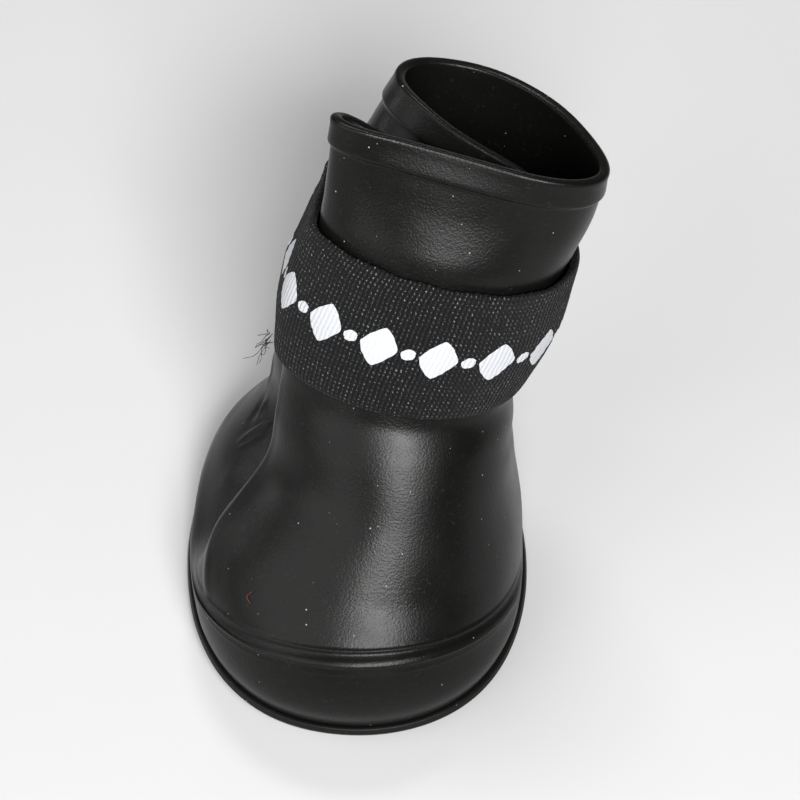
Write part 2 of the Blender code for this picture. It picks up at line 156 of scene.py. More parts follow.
# Place, width and height in metres, and power in watts.
LAMPS = {
    "key_low": ((0.114, -0.618, 0.527), (0.38, 0.16), 5.3),
    "key_high": ((0.168, -0.488, 0.637), (0.38, 0.16), 6.3),
    "front_left": ((-0.62, -0.36, 0.50), (0.80, 0.80), 4.8),
    "left": ((-0.58, 0.16, 0.17), (0.10, 0.16), 0.30),
    "rear": ((0.02, 0.42, 0.62), (0.24, 0.12), 2.2),
}


def size_of(name, description, default):
    """A property that is a length in metres."""
    return FloatProperty(name=name, description=description, default=default, unit="LENGTH")


def angle_of(name, description, degrees):
    """A property that is an angle."""
    return FloatProperty(
        name=name, description=description, default=np.radians(degrees), subtype="ANGLE", unit="ROTATION")


def colour_of(name, description, default):
    """A property that is a colour."""
    return FloatVectorProperty(name=name, description=description, default=default, subtype="COLOR")


class BootSizes(bpy.types.PropertyGroup):
    """Sizes of the upper, the sole and the strap."""

    sole_length: size_of("Sole Length", "Sole from toe to heel", 0.0602)
    sole_width: size_of("Sole Width", "Sole across its widest place", 0.0496)
    sole_thickness: size_of("Sole Thickness", "Ground to the ledge under the upper", 0.0028)
    lug_height: size_of("Lug Height", "How far the lugs stand out of the sole", 0.0011)
    lug_width: size_of("Lug Width", "Width of one lug along the boot", 0.0028)
    lug_pitch: size_of("Lug Pitch", "Distance from lug to lug", 0.0046)
    lug_margin: size_of("Lug Margin", "From the sole's edge to the ends of the lugs", 0.0028)
    rand_width: size_of("Rand Width", "Ledge of the sole outside the upper", 0.0010)
    toe_spring: size_of("Toe Spring", "How far the toe lifts off the ground", 0.0014)
    insole_thickness: size_of("Insole Thickness", "Thickness of the insole", 0.0010)
    wall: size_of("Wall", "Thickness of the upper's wall", 0.0011)
    shaft_width: size_of("Shaft Width", "Collar from side to side", 0.0352)
    shaft_depth: size_of("Shaft Depth", "Collar from front to rear", 0.0260)
    collar_height: size_of("Collar Height", "Middle of the collar above the ground", 0.0683)
    collar_back: size_of("Collar Back", "Middle of the collar behind the sole's middle", 0.0288)
    collar_side: size_of("Collar Side", "Middle of the collar to the boot's left", 0.0158)
    shaft_tilt: angle_of("Shaft Tilt", "How far the collar leans back", 20.0)
    side_lean: angle_of("Side Lean", "How far the collar leans to the boot's left", 14.0)
    band_height: size_of("Band Height", "Height of the collar's raised band", 0.0040)
    band_step: size_of("Band Step", "How far the band stands proud", 0.0005)
    bead_width: size_of("Bead Width", "Width of the bead over the toe cap", 0.0018)
    bead_step: size_of("Bead Step", "How far the bead stands proud", 0.0008)
    cap_step: size_of("Cap Step", "How far the toe cap stands proud", 0.0003)
    pleat_drop: size_of("Pleat Drop", "How far the inner fold hangs below the rim", 0.0038)
    strap_width: size_of("Strap Width", "Width of the webbing", 0.0215)
    strap_thickness: size_of("Strap Thickness", "Thickness of the webbing", 0.0013)
    strap_lap: size_of("Strap Lap", "How far the free end lies over the start", 0.0130)
    strap_level: FloatProperty(
        name="Strap Level", description="Row of the upper at the strap's middle", default=7.09)
    strap_end: FloatProperty(
        name="Strap End", description="Share of the way round from the front to the free end", default=0.63)
    rib_pitch: size_of("Rib Pitch", "Distance between the webbing's ribs", 0.00062)
    gap: size_of("Gap", "Space between pieces that touch", 0.0003)


class BootColours(bpy.types.PropertyGroup):
    """Colours of the materials and of the studio."""

    pvc: colour_of("PVC", "Moulded upper and sole", (0.0036, 0.0039, 0.0033))
    pvc_worn: colour_of("Scuffed PVC", "Where the upper is rubbed", (0.0080, 0.0084, 0.0074))
    dust: colour_of("Dust", "Specks on the PVC", (0.42, 0.43, 0.42))
    webbing: colour_of("Webbing", "Yarn of the strap", (0.0036, 0.0036, 0.0039))
    # The yarn glint colour is painted highlight: light that the webbing's rib crests catch, painted into the
    # yarn's colour.
    painted_highlight: colour_of("Yarn Glint", "Bright filaments of the strap", (0.28, 0.29, 0.30))
    print_white: colour_of("Print", "White marks on the strap", (0.44, 0.45, 0.47))
    felt: colour_of("Felt", "Insole", (0.018, 0.018, 0.019))
    floor: colour_of("Floor", "Studio floor", (0.47, 0.47, 0.47))


def rows_between(table, at):
    """Catmull-Rom: a cubic through the table's rows, with half the step between its neighbours as slope."""
    last = len(table) - 1
    padded = np.vstack([2 * table[0] - table[1], table, 2 * table[-1] - table[-2]])
    low = np.clip(np.floor(at).astype(int), 0, last - 1)
    part = (at - low)[:, None]
    before, start, end, after = (padded[low + step] for step in range(4))
    return 0.5 * (
        2 * start
        + (end - before) * part
        + (2 * before - 5 * start + 4 * end - after) * part**2
        + (3 * start - before - 3 * end + after) * part**3
    )


def loop_through(control, turns):
    """Closed cubic B-spline: each point blends four neighbouring control points with cubic weights."""
    count = control.shape[-2]
    low = np.floor(turns * count).astype(int)
    part = (turns * count - low)[:, None]
    before, start, end, after = (control[..., (low + step) % count, :] for step in (-1, 0, 1, 2))
    return (
        (1 - part) ** 3 * before
        + (3 * part**3 - 6 * part**2 + 4) * start
        + (-3 * part**3 + 3 * part**2 + 3 * part + 1) * end
        + part**3 * after
    ) / 6


def outlines(form):
    """Control points for each form number: two neighbouring forms blended, stretched to fill -1 to 1."""
    table = np.array(list(OUTLINES.values()))
    forms = table[:, :2 * FORMS].reshape(len(table), FORMS, 2).transpose(1, 0, 2)
    form = np.clip(form, 0.0, FORMS - 1.0)
    low = np.minimum(form.astype(int), FORMS - 2)
    part = (form - low)[:, None, None]
    blended = forms[low] * (1 - part) + forms[low + 1] * part
    curve = loop_through(blended, np.linspace(0, 1, 193))
    least, most = curve.min(axis=1, keepdims=True), curve.max(axis=1, keepdims=True)
    fitted = (2 * blended - least - most) / (most - least)
    drop = np.maximum(0.0, form - (FORMS - 2))[:, None] * table[:, -1]
    return np.concatenate([fitted, drop[..., None]], axis=2)


def unit(vectors):
    """Vectors of length 1."""
    return vectors / np.linalg.norm(vectors, axis=-1, keepdims=True)


def bell(place, middle, width):
    """1 at the middle, falling off smoothly over the width."""
    return np.exp(-(((place - middle) / width) ** 2))


def held(value):
    """The value held between 0 and 1."""
    return np.clip(value, 0.0, 1.0)


def eased(count):
    """Places from -1 to 1 that draw together at both ends, by a sine."""
    return np.sin(np.linspace(-np.pi / 2, np.pi / 2, count))


def spring(s, y):
    """Height of the sole's underside: level, then a parabola up to the toe spring."""
    start = 0.25 * s.sole_length
    return s.toe_spring * (np.maximum(0.0, -y - start) / (s.sole_length / 2 - start)) ** 2


def ramp(deep, hinge):
    """1 at the front and 0 at the rear: a hyperbola, straight ahead of the hinge and level behind it."""
    hinge = np.clip(hinge, 0.3, 1.0)
    ahead = hinge - (deep + 1) / 2
    return (np.sqrt(ahead**2 + 0.01 * (1 - hinge)) + ahead) / 2 / hinge


def wall_middle(s, rows, turns):
    """Middle of the wall as a grid of rows by turns.

    Across and deep give x and y. Height is the section's own, plus a slope that falls from front to rear,
    less a slope towards the boot's left. The rim's drop follows the shaft's axis.
    """
    back, depth, height, side, width, tilt, hinge, shaft, form = rows_between(SECTIONS, rows).T[..., None]
    base = s.sole_thickness + s.gap
    edge = 2 * s.rand_width + s.wall
    shaft = held(shaft)
    wide = width * ((s.sole_width - edge) * (1 - shaft) + s.shaft_width * shaft)
    long = depth * ((s.sole_length - edge) * (1 - shaft) + s.shaft_depth * shaft)
    across, deep, drop = np.moveaxis(loop_through(outlines(form[:, 0]), turns), 2, 0)
    x = side * s.collar_side + across * wide / 2
    y = back * s.collar_back + deep * long / 2
    rise = long * np.tan(s.shaft_tilt) * tilt
    z = base + height * (s.collar_height - base) - rise / 2 + rise * ramp(deep, hinge)
    z -= across * wide / 2 * np.tan(s.side_lean) * held(form / 2)
    z += spring(s, y) * held(1 - height / SECTIONS[3, 2])
    axis = unit(np.array([np.tan(s.side_lean), np.tan(s.shaft_tilt), 1.0]))
    return np.stack([x, y, z], axis=2) - drop[..., None] * s.pleat_drop * axis


def wall_frame(s, rows, turns):
    """Middle of the wall, its outward unit normal and its unit direction up the rows."""
    step = 0.02
    below, here, above = (wall_middle(s, rows + shift, turns) for shift in (-step, 0.0, step))
    up = above - below
    normal = np.cross(up, np.roll(here, -1, axis=1) - np.roll(here, 1, axis=1))
    return here, unit(normal), unit(up)


def row_length(s, row):
    """Distance between the middles of a section and the next one."""
    ends = wall_middle(s, np.array([row, row + 1.0]), np.linspace(0, 1, 49)[:-1]).mean(axis=1)
    return np.linalg.norm(ends[1] - ends[0])


def soft_step(distance, width):
    """0 below and 1 above, as a hyperbolic tangent of the given width."""
    return 0.5 + 0.5 * np.tanh(distance / width)


def raised(s, rows, turns):
    """How far the outside stands proud: the collar's band, the bead and its thin ridge, the toe cap."""
    top_row = row_length(s, LAST_ROW - 1.0)
    from_band = (rows - LAST_ROW + s.band_height / top_row)[:, None] * top_row
    from_bead = (rows - BEAD_ROW)[:, None] * row_length(s, float(BEAD_ROW))
    deep = loop_through(outlines(np.zeros(1)), turns)[0, :, 1]
    ahead = held(3.0 * ramp(deep, SECTIONS[BEAD_ROW, 6]) - 0.1)
    half = s.bead_width / 2
    place = from_bead / half
    broad = bell(place, -0.45, np.where(place > -0.45, 0.95, 0.42))
    thin = 0.26 * bell(place, 1.60, 0.26)
    line = 0.05 * bell(place, -2.0, 0.2)
    bead = s.bead_step * (broad + thin + line)
    cap = s.cap_step * soft_step(-from_bead - half, 0.0002)
    band = s.band_step * soft_step(from_band, 0.00022)
    band = band * (1.1 - 0.5 * held(from_band / s.band_height))
    lip = 0.00012 * bell(from_band, s.band_height - 0.0007, 0.0004)
    return band + lip + (bead + cap) * ahead


def creased(s, middle):
    """Sum of the creases: height times a bell of the distance to the crease's line, fading at its ends.

    The line is straight in turn and row, so in space it lies on the wall. It is cut into short straight
    pieces, and the nearest piece gives the distance.
    """
    pieces = 12
    share = np.linspace(0.0, 1.0, pieces + 1)
    diagonal = np.arange(pieces + 1)
    total = np.zeros(middle.shape[:2])
    for start, end, half_width, height in CREASES.values():
        turns = start[0] + (end[0] - start[0]) * share
        rows = start[1] + (end[1] - start[1]) * share
        line = wall_middle(s, rows, turns)[diagonal, diagonal]
        nearest = np.full(middle.shape[:2], np.inf)
        place = np.zeros(middle.shape[:2])
        for k in range(pieces):
            step = line[k + 1] - line[k]
            part = held((middle - line[k]) @ step / (step @ step))
            apart = np.linalg.norm(middle - line[k] - part[..., None] * step, axis=2)
            place = np.where(apart < nearest, (k + part) / pieces, place)
            nearest = np.minimum(apart, nearest)
        fade = np.sin(np.pi * np.clip(place, 0.02, 0.98)) ** 0.7
        total += height * fade * bell(nearest, 0.0, half_width)
    return total


def uneven(middle):
    """Slow hand-made unevenness: a sum of three slanted sine waves through space."""
    waves = np.array([(310.0, 140.0, 220.0), (-190.0, 260.0, 330.0), (430.0, -350.0, 160.0)])
    return 0.000014 * np.sin(middle @ waves.T + (0.4, 2.1, 4.4)).sum(axis=2)


def strap_pull(s, rows):
    """The strap presses the wall in between its edges: a flat-topped dent, with a low swell beside it."""
    whole = float(int(s.strap_level))
    away = abs(rows - s.strap_level)[:, None] * row_length(s, whole)
    dent = -STRAP_DENT * soft_step(s.strap_width / 2 - away, 0.0012)
    return dent + STRAP_SWELL * bell(away, s.strap_width / 2 + 0.0016, 0.0014)


def add_object(name, data):
    """An object in the scene that holds the data."""
    made = bpy.data.objects.new(name, data)
    bpy.context.scene.collection.objects.link(made)
    return made


def add_mesh(name, points, faces, uv=None):
    """A smooth-shaded mesh object at the origin; uv gives one pair of numbers for each point."""
    mesh = bpy.data.meshes.new(name)
    mesh.from_pydata(np.asarray(points).reshape(-1, 3).tolist(), [], [list(face) for face in faces])
    mesh.validate()
    if uv is not None:
        corners = np.empty(len(mesh.loops), np.int32)
        mesh.loops.foreach_get("vertex_index", corners)
        layer = mesh.uv_layers.new(name="UVMap")
        layer.data.foreach_set("uv", np.asarray(uv, np.float32).reshape(-1, 2)[corners].ravel())
    mesh.shade_smooth()
    return add_object(name, mesh)


def grid_faces(rows, columns, closed_columns=False, closed_rows=False):
    """Quads of a grid of points that is stored row by row, as one array."""
    low_row = np.arange(rows if closed_rows else rows - 1)
    low_column = np.arange(columns if closed_columns else columns - 1)
    r, c = np.meshgrid(low_row, low_column, indexing="ij")
    after_r, after_c = (r + 1) % rows, (c + 1) % columns
    corners = [r * columns + c, after_r * columns + c, after_r * columns + after_c, r * columns + after_c]
    return np.stack(corners, axis=2).reshape(-1, 4)


def bar_faces(bars, turned=False):
    """Faces of closed bars, stored as bar, step and point round it: the sides and a cap at each end.

    Turned makes them look the other way.
    """
    count, steps, sides, _ = bars.shape
    one = [tuple(face) for face in grid_faces(steps, sides, closed_columns=True).tolist()]
    one += [tuple(range(sides)), tuple(range(steps * sides - 1, (steps - 1) * sides - 1, -1))]
    if turned:
        one = [face[::-1] for face in one]
    starts = range(0, count * steps * sides, steps * sides)
    return [tuple(start + corner for corner in face) for start in starts for face in one]


def finish_piece(piece, material, slot, *nodes):
    """The piece rides on the boot's one body, takes its finish and stands for its CAD nodes; its slot is not
    used.
    """
    piece.data.materials.append(material)
    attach(piece, "root")
    if nodes:
        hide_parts(*nodes)


def tubes(paths, radii, sides=5):
    """Thin round threads: a ring of points round each path's steps, square to the path.

    Paths is an array of threads by steps by 3, and radii has a radius for each step.
    """
    along = unit(np.gradient(paths, axis=1))
    side = unit(np.cross(along, (0.31, 0.22, 0.93)))
    other = np.cross(along, side)
    angle = np.linspace(0, 2 * np.pi, sides + 1)[:-1]
    ring = side[:, :, None] * np.cos(angle)[:, None] + other[:, :, None] * np.sin(angle)[:, None]
    points = paths[:, :, None] + ring * radii[:, :, None, None]
    return points, bar_faces(points, turned=True)


def feed(tree, made, inputs):
    """Gives a node its inputs, which are values or other nodes' sockets."""
    for key, value in inputs.items():
        if isinstance(value, bpy.types.NodeSocket):
            tree.links.new(value, made.inputs[key])
        else:
            made.inputs[key].default_value = value


def new_material(name, base, roughness):
    """A Principled material with its node tree, its shader and the socket of its object coordinates."""
    made = bpy.data.materials.new(name)
    made.use_nodes = True
    tree = made.node_tree
    shader = tree.nodes["Principled BSDF"]
    feed(tree, shader, {"Base Color": (*base, 1.0), "Roughness": roughness})
    made.diffuse_color = (*base, 1.0)
    return made, tree, shader, tree.nodes.new("ShaderNodeTexCoord").outputs["Object"]


def node(tree, kind, inputs, **settings):
    """A node with its inputs and its settings."""
    made = tree.nodes.new(kind)
    for key, value in settings.items():
        setattr(made, key, value)
    feed(tree, made, inputs)
    return made


def maths(tree, operation, *values):
    """The socket of a Math node."""
    return node(tree, "ShaderNodeMath", dict(enumerate(values)), operation=operation).outputs[0]


def noise(tree, where, scale, detail=2.0, roughness=0.5):
    """The socket of a Noise texture: a grey value that varies over 1 / scale metres."""
    made = node(tree, "ShaderNodeTexNoise",
                {"Vector": where, "Scale": scale, "Detail": detail, "Roughness": roughness})
    return made.outputs["Fac"]


def spread(tree, value, low, high, to_low=0.0, to_high=1.0, smooth=False):
    """The value stretched from one range onto another, held at its ends."""
    made = node(tree, "ShaderNodeMapRange",
                {"Value": value, "From Min": low, "From Max": high, "To Min": to_low, "To Max": to_high})
    made.interpolation_type = "SMOOTHSTEP" if smooth else "LINEAR"
    return made.outputs["Result"]


def blend_colour(tree, share, first, second):
    """The socket of a colour mix."""
    made = node(tree, "ShaderNodeMix", {"Factor": share}, data_type="RGBA")
    for key, value in (("A", first), ("B", second)):
        socket = next(i for i in made.inputs if i.name == key and i.type == "RGBA")
        if isinstance(value, bpy.types.NodeSocket):
            tree.links.new(value, socket)
        else:
            socket.default_value = (*value, 1.0)
    return next(o for o in made.outputs if o.type == "RGBA")


def bump(tree, height, distance, strength=1.0, under=None):
    """The socket of a Bump node; under is the normal of the coarser bump beneath it."""
    made = node(tree, "ShaderNodeBump", {"Height": height, "Distance": distance, "Strength": strength})
    if under is not None:
        tree.links.new(under, made.inputs["Normal"])
    return made.outputs["Normal"]


def pvc_material(colours, name, roughness):
    """Satin moulded PVC: mottled black, fine grain, slow ripples, dust specks and faint rubbed patches."""
    made, tree, shader, where = new_material(name, colours.pvc, roughness)
    mottle = noise(tree, where, 95.0, 4.0, 0.6)
    rubbed = spread(tree, noise(tree, where, 46.0, 5.0, 0.66), 0.56, 0.80, 0.0, 0.55, True)
    colour = blend_colour(tree, rubbed, colours.pvc, colours.pvc_worn)
    cells = node(tree, "ShaderNodeTexVoronoi", {"Vector": where, "Scale": 900.0, "Randomness": 1.0})
    chance = node(tree, "ShaderNodeSeparateColor", {"Color": cells.outputs["Color"]})
    size = spread(tree, chance.outputs[0], 0.84, 1.0, 0.03, 0.11)
    few = maths(tree, "MULTIPLY", size, maths(tree, "GREATER_THAN", chance.outputs[0], 0.84))
    speck = maths(tree, "MULTIPLY", maths(tree, "LESS_THAN", cells.outputs["Distance"], few), 0.55)
    film = spread(tree, noise(tree, where, 1500.0, 3.0, 0.7), 0.60, 0.85, 0.0, 0.035)
    colour = blend_colour(tree, film, colour, colours.dust)
    colour = blend_colour(tree, speck, colour, colours.dust)
    rough = spread(tree, mottle, 0.3, 0.7, roughness - 0.05, roughness + 0.06)
    rough = maths(tree, "MULTIPLY_ADD", speck, 0.3, rough)
    ripple = bump(tree, noise(tree, where, 120.0, 2.0, 0.5), 0.00008, 0.5)
    grain = noise(tree, where, 3100.0, 2.0, 0.55)
    fine = bump(tree, grain, 0.00005, 0.8, ripple)
    relief = bump(tree, speck, 0.00004, 0.5, fine)
    feed(tree, shader, {"Base Color": colour, "Roughness": rough, "Normal": relief,
                        "Specular IOR Level": 0.15, "IOR": 1.53})
    return made


def rib_sockets(tree, s):
    """The ways along and across the webbing, in metres, from its UV map, and a rib's height there.

    The rib is the size of the sine of the way along.
    """
    uv = node(tree, "ShaderNodeUVMap", {}, uv_map="UVMap").outputs["UV"]
    parts = node(tree, "ShaderNodeSeparateXYZ", {"Vector": uv})
    wave = maths(tree, "SINE", maths(tree, "MULTIPLY", parts.outputs["X"], np.pi / s.rib_pitch))
    return parts.outputs["X"], parts.outputs["Y"], maths(tree, "ABSOLUTE", wave)


def webbing_material(colours, s):
    """Ribbed webbing: rounded ribs of twisted yarn, with painted highlights on the crests and painted shade
    between.

    The yarn's twist is a slanted wave within a rib.
    """
    made, tree, shader, where = new_material("ribbed_webbing", colours.webbing, 0.62)
    along, across, rib = rib_sockets(tree, s)
    number = maths(tree, "FLOOR", maths(tree, "DIVIDE", along, s.rib_pitch))
    odd = maths(tree, "MULTIPLY", maths(tree, "MODULO", number, 2.0), np.pi)
    twist = maths(tree, "ADD", maths(tree, "MULTIPLY", across, 2 * np.pi / 0.00070), odd)
    twist = maths(tree, "ADD", maths(tree, "MULTIPLY", along, 5200.0), twist)
    stitch = maths(tree, "MULTIPLY_ADD", maths(tree, "SINE", twist), 0.5, 0.5)
    height = maths(tree, "MULTIPLY", rib, maths(tree, "MULTIPLY_ADD", stitch, 0.45, 0.55))
    filament = noise(tree, where, 4600.0, 2.0, 0.7)
    # Painted highlight: noisy spots high on the rib crests get the light glint colour, as if they caught the
    # lamps.
    highlight_spots = maths(tree, "MULTIPLY", spread(tree, filament, 0.54, 0.66), spread(tree, height, 0.60, 0.95))
    patch = spread(tree, noise(tree, where, 260.0, 3.0, 0.6), 0.35, 0.7, 0.35, 1.0)
    highlight_spots = maths(tree, "MULTIPLY", highlight_spots, patch)
    # Painted shade: the yarn's colour darkens to near black in the grooves between the ribs.
    shade = blend_colour(tree, spread(tree, height, 0.0, 0.6), (0.0012, 0.0012, 0.0013), colours.webbing)
    colour = blend_colour(tree, highlight_spots, shade, colours.painted_highlight)
    rough = spread(tree, highlight_spots, 0.0, 1.0, 0.72, 0.36)
    relief = bump(tree, filament, 0.00005, 0.8, bump(tree, height, 0.00022, 0.9))
    feed(tree, shader, {"Base Color": colour, "Roughness": rough, "Normal": relief,
                        "Specular IOR Level": 0.18, "Sheen Weight": 0.02, "Sheen Roughness": 0.45})
    return made


def print_material(colours, s):
    """White rubbery print: it sinks between the ribs, where the black yarn shows through."""
    made, tree, shader, where = new_material("white_print", colours.print_white, 0.55)
    _, _, rib = rib_sockets(tree, s)
    ragged = maths(tree, "MULTIPLY_ADD", noise(tree, where, 3800.0, 2.0, 0.6), 0.5, rib)
    colour = blend_colour(tree, spread(tree, ragged, 0.12, 0.30), (0.30, 0.31, 0.32), colours.print_white)
    feed(tree, shader, {"Base Color": colour, "Normal": bump(tree, ragged, 0.00010, 0.6)})
    return made


def felt_material(colours):
    """Matt felt: tangled fine fibres as two sizes of noise, with a little sheen."""
    made, tree, shader, where = new_material("felt", colours.felt, 0.92)
    fibres = noise(tree, where, 2600.0, 4.0, 0.75)
    colour = blend_colour(tree, spread(tree, fibres, 0.35, 0.75), colours.felt, (0.045, 0.045, 0.047))
    relief = bump(tree, fibres, 0.00012, 0.8)
    feed(tree, shader, {"Base Color": colour, "Normal": relief, "Sheen Weight": 0.15})
    return made


def times(colour, factor):
    """The colour, lighter or darker by a factor."""
    return tuple(factor * c for c in colour)


def fibre_material(name, base, roughness):
    """Loose yarn: a colour that varies a little from fibre to fibre."""
    made, tree, shader, where = new_material(name, base, roughness)
    colour = blend_colour(tree, noise(tree, where, 900.0), base, times(base, 2.2))
    feed(tree, shader, {"Base Color": colour})
    return made


def wall_rows(s):
    """Row numbers of the fine outside: even, with close rows over the bead and at the band's edge."""
    half = 1.6 * s.bead_width / row_length(s, float(BEAD_ROW))
    top_row = row_length(s, LAST_ROW - 1.0)
    band = LAST_ROW - s.band_height / top_row
    top = LAST_ROW - 0.0006 / top_row
    even = np.linspace(0.0, top, 128)
    bead = np.linspace(BEAD_ROW - half, BEAD_ROW + half, 33)
    edge = np.linspace(band - 0.12, band + 0.12, 15)
    rows = np.unique(np.round(np.concatenate([even, bead, edge]), 4))
    return rows[np.concatenate([[True], np.diff(rows) > 0.006])]


def wall_turns():
    """Turns of the fine wall: closer together at the fold, by a bell added to an even density."""
    even = np.linspace(0.0, 1.0, 1001)
    bells = bell(even, 0.335, 0.05) + 0.6 * bell(even, 0.63, 0.07)
    count = np.concatenate([[0.0], np.cumsum(1.0 + 1.2 * (bells[1:] + bells[:-1]) / 2)])
    return np.interp(np.linspace(0.0, count[-1], 369)[:-1], count, even)


def build_upper(s, colours):
    """The shell: up the outside, over a rounded rim, down the inside, and across the foot of the wall.

    Outside and inside are the middle surface moved half a wall along its normal. The rim is half a flattened
    circle from one to the other, in the plane of the normal and the direction up.
    """
    turns = wall_turns()
    rows = wall_rows(s)
    middle, normal, _ = wall_frame(s, rows, turns)
    soft = creased(s, middle) + uneven(middle) + strap_pull(s, rows)
    fade = held(rows / 0.6)[:, None]
    proud = s.wall / 2 + raised(s, rows, turns)
    outside = middle + normal * (proud + soft * fade)[..., None]
    outside[0, :, 2] = middle[0, :, 2]
    rim, rim_normal, rim_up = wall_frame(s, np.full(1, rows[-1]), turns)
    angle = np.linspace(0, np.pi, 12)[1:-1]
    outer_edge = proud[-1] + soft[-1]
    centre, half = (outer_edge - s.wall / 2) / 2, (outer_edge + s.wall / 2) / 2
    out = centre + half * (np.sign(np.cos(angle)) * abs(np.cos(angle)) ** 0.7)[:, None]
    rise = 0.0006 * (np.sin(angle) ** 0.7)[:, None]
    top = rim + rim_normal * out[..., None] + rim_up * rise[..., None]
    inside_rows = np.linspace(0.0, rows[-1], 64)[::-1]
    middle, normal, _ = wall_frame(s, inside_rows, turns)
    soft = (creased(s, middle) + uneven(middle)) * held(inside_rows / 0.6)[:, None]
    inside = middle + normal * (soft - s.wall / 2)[..., None]
    inside[-1, :, 2] = middle[-1, :, 2]
    grid = np.concatenate([outside, top, inside])
    faces = grid_faces(len(grid), len(turns), closed_columns=True, closed_rows=True)
    upper = add_mesh("upper_shell", grid, faces)
    finish_piece(upper, pvc_material(colours, "satin_pvc", 0.32), "upper", "upper")


def foot_ring(s, inset, height, turns):
    """The sole's outline, inset from its edge: x and y are shares of the halves, z follows the spring."""
    across, deep = loop_through(outlines(np.zeros(1)), turns)[0, :, :2].T
    x = across * (s.sole_width / 2 - inset)
    y = deep * (s.sole_length / 2 - inset)
    return np.stack([x, y, height + spring(s, y)], axis=1)


def build_sole(s, colours):
    """Plate with its rand: rings of the outline up a profile of inset against height.

    The rand's side is a half circle with a thin parting line at its middle. A shallow groove runs between
    the ledge and the upper.
    """
    turns = np.linspace(0, 1, 289)[:-1]
    tall = s.sole_thickness - s.lug_height
    angle = np.linspace(-np.pi / 2, np.pi / 2, 17)
    parting = 0.00010 * bell(angle, 0.0, 0.16)
    side_inset = 0.00055 * (1 - np.cos(angle) ** 0.6) - parting
    side_height = s.lug_height + tall / 2 * (1 + np.sin(angle))
    shrink = np.linspace(0.96, 0.0, 26) * s.sole_width / 2
    groove_inset = s.rand_width * np.array([0.75, 0.95, 1.1, 1.6])
    groove_height = s.sole_thickness - np.array([0.0, 0.00012, 0.00016, 0.0])
    inset = np.concatenate(
        [s.rand_width + shrink, side_inset, groove_inset, s.rand_width + shrink[::-1][1:]])
    height = np.concatenate(
        [np.full(26, s.lug_height), side_height, groove_height, np.full(25, s.sole_thickness)])
    grid = np.stack([foot_ring(s, i, h, turns) for i, h in zip(inset, height)])
    sole = add_mesh("sole_plate", grid, bar_faces(grid[None]))
    finish_piece(sole, pvc_material(colours, "sole_pvc", 0.46), "sole", "sole")


def build_lugs(s, colours):
    """Bars across the sole: a rounded profile carried from edge to edge of the inset outline.

    The profile is a flattened half circle below the plate. Each bar's ends draw in to a round end.
    """
    ring = foot_ring(s, s.lug_margin, 0.0, np.linspace(0, 1, 721))
    left, right = ring[ring[:, 0] >= 0], ring[ring[:, 0] < 0]
    left, right = (half[np.argsort(half[:, 1])] for half in (left, right))
    rear = s.sole_length / 2 - s.lug_margin - s.lug_width
    middles = np.concatenate(
        [-np.arange(FOREFOOT_LUGS) * s.lug_pitch, rear - np.arange(HEEL_LUGS) * s.lug_pitch])
    profile = np.linspace(-1, 1, 13)
    depth = held(1 - abs(profile) ** 7) ** 0.5
    y = middles[:, None, None] + profile * s.lug_width / 2
    high = np.interp(y, left[:, 1], left[:, 0])
    low = np.interp(y, right[:, 1], right[:, 0])
    share = eased(33)[None, :, None] / 2 + 0.5
    ends = held(1 - abs(2 * share - 1) ** 40) ** 0.5
    x = low + (high - low) * share
    plate = s.lug_height + 0.0002
    z = plate - plate * depth * ends + spring(s, y)
    shape = np.broadcast_shapes(x.shape, z.shape)
    foot = np.stack([np.broadcast_to(a, shape) for a in (x, y, z)], axis=3)
    head = foot.copy()
    head[..., 2] = plate + 0.0001 + spring(s, head[..., 1])
    bars = np.concatenate([foot, head[:, :, ::-1]], axis=2)
    lugs = add_mesh("sole_lugs", bars, bar_faces(bars, turned=True))
    finish_piece(lugs, pvc_material(colours, "lug_pvc", 0.52), "sole", "sole")


def build_insole(s, colours):
    """A board with rolled edges: rings of the outline up a rounded profile, hollowed under the paw."""
    turns = np.linspace(0, 1, 241)[:-1]
    edge = s.rand_width + s.wall + s.gap
    low = s.sole_thickness + s.gap
    shrink = np.linspace(0.97, 0.0, 26) * s.sole_width / 2
    angle = np.linspace(-np.pi / 2, np.pi / 2, 9)[1:-1]
    half = s.insole_thickness / 2
    inset = edge + np.concatenate([shrink, half * (1 - np.cos(angle)), shrink[::-1]])
    hollow = 0.00025 * held(shrink[::-1] / 0.012)
    height = low + np.concatenate([np.zeros(26), half * (1 + np.sin(angle)), s.insole_thickness - hollow])
    grid = np.stack([foot_ring(s, i, h, turns) for i, h in zip(inset, height)])
    insole = add_mesh("insole_board", grid, bar_faces(grid[None]))
    finish_piece(insole, felt_material(colours), "insole", "insole")


def strap_rows(s, across):
    """Row numbers of the upper for places across the strap, from -1 at its lower edge to 1 at its upper."""
    whole = float(int(s.strap_level))
    half = s.strap_width / (row_length(s, whole - 1) + row_length(s, whole))
    return s.strap_level + across * half


def taut_paths(rings, offset, stations):
    """Bands pulled tight round each ring in x and y.

    For every direction the ring's furthest point is moved out by its offset. The path through these points
    is read at shares of its own length, from the front round the boot's left.
    """
    angles = np.linspace(0, 2 * np.pi, 1441)[:-1] - np.pi / 2
    facing = np.column_stack([np.cos(angles), np.sin(angles)])
    found = []
    for ring, out in zip(rings, offset):
        hull = ring[np.argmax(ring[:, :2] @ facing.T, axis=0), :2] + facing * out
        hull = np.vstack([hull, hull[:1]])
        length = np.concatenate([[0.0], np.cumsum(np.linalg.norm(np.diff(hull, axis=0), axis=1))])
        at = (stations % 1.0) * length[-1]
        found.append((np.column_stack([np.interp(at, length, hull[:, k]) for k in range(2)]), length[-1]))
    return np.array([f[0] for f in found]), np.array([f[1] for f in found])


